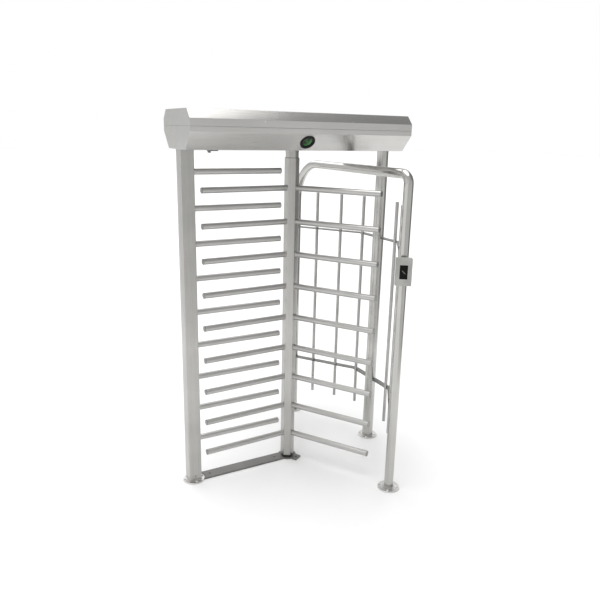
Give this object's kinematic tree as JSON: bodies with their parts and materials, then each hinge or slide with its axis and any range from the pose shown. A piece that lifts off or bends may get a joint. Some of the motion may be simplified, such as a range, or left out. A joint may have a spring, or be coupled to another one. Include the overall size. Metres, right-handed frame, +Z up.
{
  "type": "full height turnstile",
  "caption": "Full height turnstile of brushed steel: winged rotor under a boxed roof beam, fixed comb, bar guard, arched portal, card reader and floor flanges.",
  "frame": {"origin": "on the floor on the rotor's axis, at the underside of the pivot pin", "axes": "+Z up; +X along the roof beam from the square comb post to the round post; -Y the side with the card reader"},
  "size_m": [1.504, 1.4613, 2.3],
  "materials": {
    "bearing_balls": "brushed",
    "bearing_inner_ring": "brushed",
    "bearing_outer_ring": "brushed",
    "board_standoffs": "brushed",
    "column_foot_plug": "brushed",
    "comb_arm_caps": "moulded",
    "comb_arms": "brushed",
    "control_board": "lacquered",
    "cover_brackets": "brushed",
    "cover_screws": "brushed",
    "cover_seal": "moulded",
    "damper_housing": "anodised",
    "damper_pinion": "brushed",
    "drive_shaft": "brushed",
    "drive_spigot": "brushed",
    "entry_pawl": "brushed",
    "entry_plunger": "brushed",
    "exit_pawl": "brushed",
    "exit_plunger": "brushed",
    "floor_flanges": "brushed",
    "floor_sill": "brushed",
    "front_wing": "brushed",
    "guard_bars": "brushed",
    "header_base": "brushed",
    "header_cover": "brushed",
    "key_cam": "polished",
    "lamp_lenses": "tinted",
    "lamp_rings": "moulded",
    "lamp_units": "moulded",
    "left_post": "brushed",
    "left_wing": "brushed",
    "lock_solenoids": "painted",
    "lower_bush": "turned",
    "lower_hoop": "brushed",
    "main_gear": "brushed",
    "mechanism_plate": "powder coated",
    "override_lock": "polished",
    "pawl_pins": "brushed",
    "pawl_springs": "brushed",
    "pivot_pin": "brushed",
    "plate_bolts": "brushed",
    "portal_tube": "brushed",
    "post_grub_screw": "brushed",
    "post_heads": "brushed",
    "power_supply": "pierced sheet",
    "ratchet_wheel": "brushed",
    "reader_board": "lacquered",
    "reader_housing": "brushed",
    "reader_saddle": "brushed",
    "reader_screws": "brushed",
    "reader_window": "polished",
    "rear_wing": "brushed",
    "right_post": "brushed",
    "rotor_column": "brushed",
    "rotor_foot": "brushed",
    "shaft_nut": "brushed",
    "top_bearing_housing": "cast and turned",
    "tray_spacers": "brushed",
    "upper_hoop": "brushed",
    "wing_caps": "moulded"
  },
  "bodies": {
    "frame": {"floor_flanges": "floor_flanges", "left_post": "left_post", "right_post": "right_post", "portal_tube": "portal_tube", "guard_bars": "guard_bars", "lower_hoop": "lower_hoop", "upper_hoop": "upper_hoop", "comb_arms": "comb_arms", "floor_sill": "floor_sill", "rotor_foot": "rotor_foot", "header_base": "header_base", "header_cover": "header_cover", "post_grub_screw": "post_grub_screw", "post_heads": "post_heads", "plate_bolts": "plate_bolts", "comb_arm_caps": "comb_arm_caps", "pivot_pin": "pivot_pin", "cover_seal": "cover_seal", "cover_brackets": "cover_brackets", "cover_screws": "cover_screws", "mechanism_plate": "mechanism_plate", "tray_spacers": "tray_spacers", "top_bearing_housing": "top_bearing_housing", "bearing_outer_ring": "bearing_outer_ring", "damper_housing": "damper_housing", "pawl_pins": "pawl_pins", "pawl_springs": "pawl_springs", "lock_solenoids": "lock_solenoids", "override_lock": "override_lock", "lamp_rings": "lamp_rings", "lamp_lenses": "lamp_lenses", "lamp_units": "lamp_units", "reader_saddle": "reader_saddle", "reader_screws": "reader_screws", "reader_housing": "reader_housing", "reader_window": "reader_window", "reader_board": "reader_board", "board_standoffs": "board_standoffs", "control_board": "control_board", "power_supply": "power_supply"},
    "rotor": {"rotor_column": "rotor_column", "left_wing": "left_wing", "front_wing": "front_wing", "rear_wing": "rear_wing", "wing_caps": "wing_caps", "drive_spigot": "drive_spigot", "drive_shaft": "drive_shaft", "column_foot_plug": "column_foot_plug", "lower_bush": "lower_bush", "bearing_inner_ring": "bearing_inner_ring", "bearing_balls": "bearing_balls", "main_gear": "main_gear", "ratchet_wheel": "ratchet_wheel", "shaft_nut": "shaft_nut"},
    "damper_pinion_body": {"damper_pinion": "damper_pinion"},
    "exit_pawl_body": {"exit_pawl": "exit_pawl"},
    "entry_pawl_body": {"entry_pawl": "entry_pawl"},
    "exit_plunger_body": {"exit_plunger": "exit_plunger"},
    "entry_plunger_body": {"entry_plunger": "entry_plunger"},
    "key_body": {"key_cam": "key_cam"}
  },
  "joints": [
    {"name": "rotor_turn", "type": "hinge", "parent": "frame", "child": "rotor", "pos_m": [0, 0, 0], "axis": [0, 0, 1], "continuous": true},
    {"name": "damper_pinion_spin", "type": "hinge", "parent": "frame", "child": "damper_pinion_body", "pos_m": [0.12, 0, 2.16], "axis": [0, 0, 1], "continuous": true},
    {"name": "exit_pawl_swing", "type": "hinge", "parent": "frame", "child": "exit_pawl_body", "pos_m": [-0.03255, 0.09962, 2.185], "axis": [0, 0, 1], "range_deg": [0, 10], "stiffness_Nm_per_rad": 0.5},
    {"name": "entry_pawl_swing", "type": "hinge", "parent": "frame", "child": "entry_pawl_body", "pos_m": [-0.03255, -0.09962, 2.185], "axis": [0, 0, 1], "range_deg": [-10, 0], "stiffness_Nm_per_rad": 0.5},
    {"name": "exit_plunger_slide", "type": "slide", "parent": "frame", "child": "exit_plunger_body", "axis": [-0.866, 0.5, 0], "range_m": [0, 0.007]},
    {"name": "entry_plunger_slide", "type": "slide", "parent": "frame", "child": "entry_plunger_body", "axis": [-0.866, -0.5, 0], "range_m": [0, 0.007]},
    {"name": "key_cam_turn", "type": "hinge", "parent": "frame", "child": "key_body", "pos_m": [-0.538, 0, 2.09], "axis": [0, 0, 1], "range_deg": [0, 90]}
  ],
  "couplings": [
    {"joint": "damper_pinion_spin", "follows": "rotor_turn", "ratio": -3},
    {"joint": "exit_plunger_slide", "follows": "exit_pawl_swing", "m_per_rad": 0.04},
    {"joint": "entry_plunger_slide", "follows": "entry_pawl_swing", "m_per_rad": -0.04}
  ]
}
